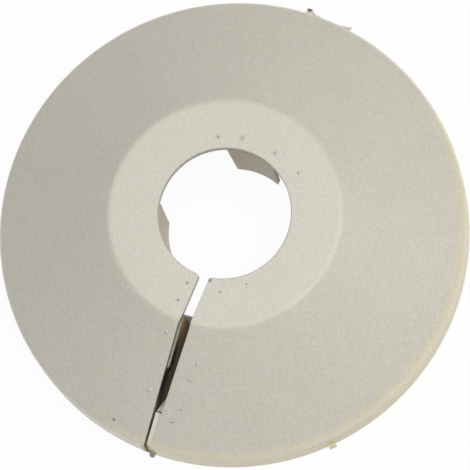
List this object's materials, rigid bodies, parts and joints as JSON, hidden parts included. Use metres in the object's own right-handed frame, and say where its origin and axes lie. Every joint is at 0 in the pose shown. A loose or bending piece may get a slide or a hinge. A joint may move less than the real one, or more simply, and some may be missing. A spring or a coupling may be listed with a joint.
{
  "type": "split escutcheon",
  "caption": "Dished round plastic cover plate with a slit and spring tabs that clips round a tube and hides the hole where it leaves a wall.",
  "frame": {"origin": "on the tube's axis, at the wall plane that the rim rests on", "axes": "+Z along the tube, away from the wall; the slit runs from the bore to the rim along -Y, up to 0.4 mm to either side of it"},
  "size_m": [0.0572, 0.059, 0.013],
  "materials": {
    "bone_plastic": "matte"
  },
  "bodies": {
    "root": {"escutcheon": "bone_plastic"}
  },
  "joints": []
}
